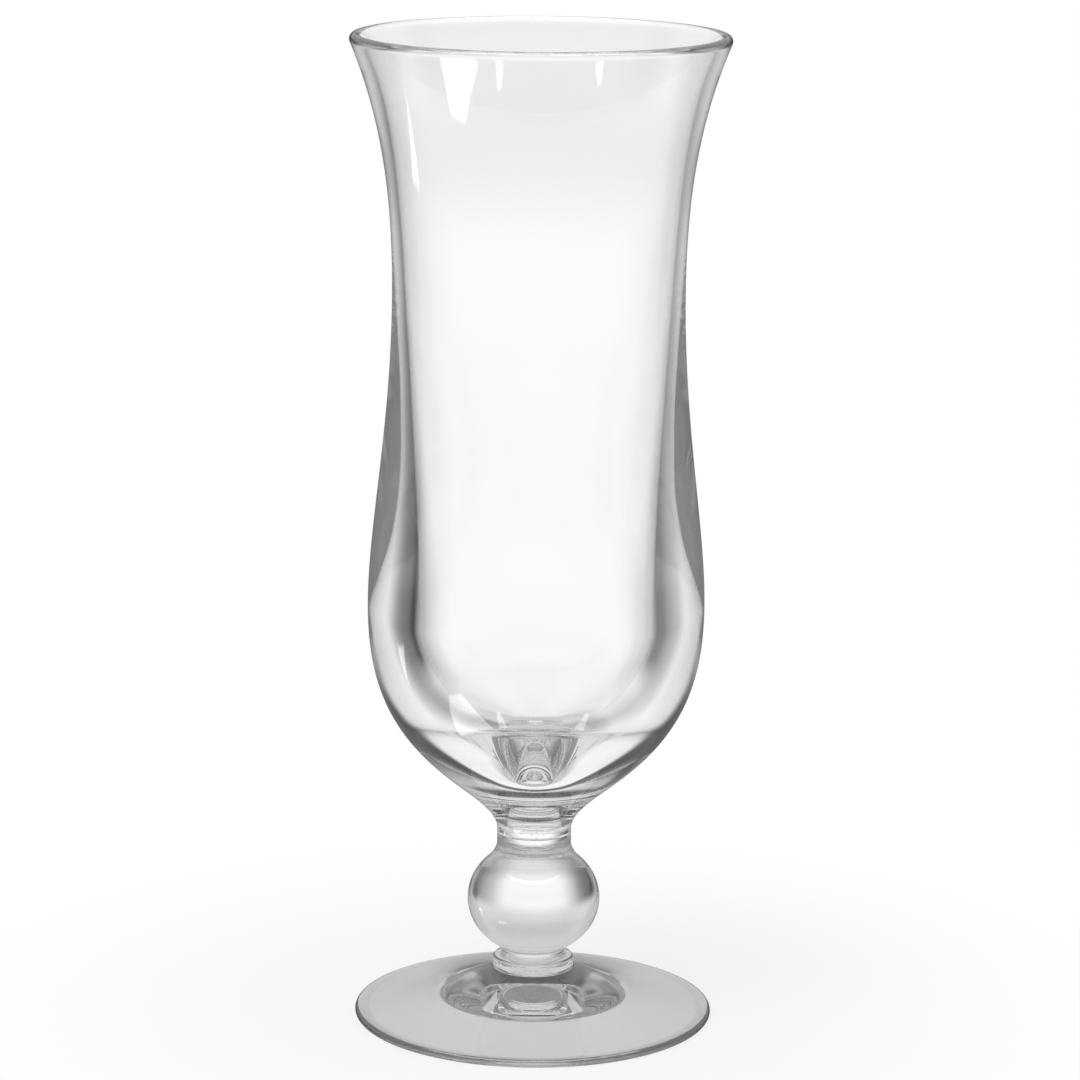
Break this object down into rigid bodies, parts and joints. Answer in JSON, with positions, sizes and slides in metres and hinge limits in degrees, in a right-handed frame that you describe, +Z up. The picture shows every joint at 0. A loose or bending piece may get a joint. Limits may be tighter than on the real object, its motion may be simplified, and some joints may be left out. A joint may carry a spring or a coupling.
{
  "type": "hurricane glass",
  "caption": "Clear footed hurricane glass: a tall flared bowl with a thick base on a ball stem and a round foot, joined by bonded spigots.",
  "frame": {"origin": "centre of the plane that the foot rests on, on the glass's axis", "axes": "+Z up along the axis of the glass, towards the rim"},
  "size_m": [0.0796, 0.0796, 0.212],
  "materials": {
    "clear_plastic": "polished, water clear",
    "clear_bond": "cured, clear"
  },
  "bodies": {
    "root": {"bowl": "clear_plastic", "neck_bond": "clear_bond", "ball_stem": "clear_plastic", "foot_bond": "clear_bond", "foot": "clear_plastic"}
  },
  "joints": []
}
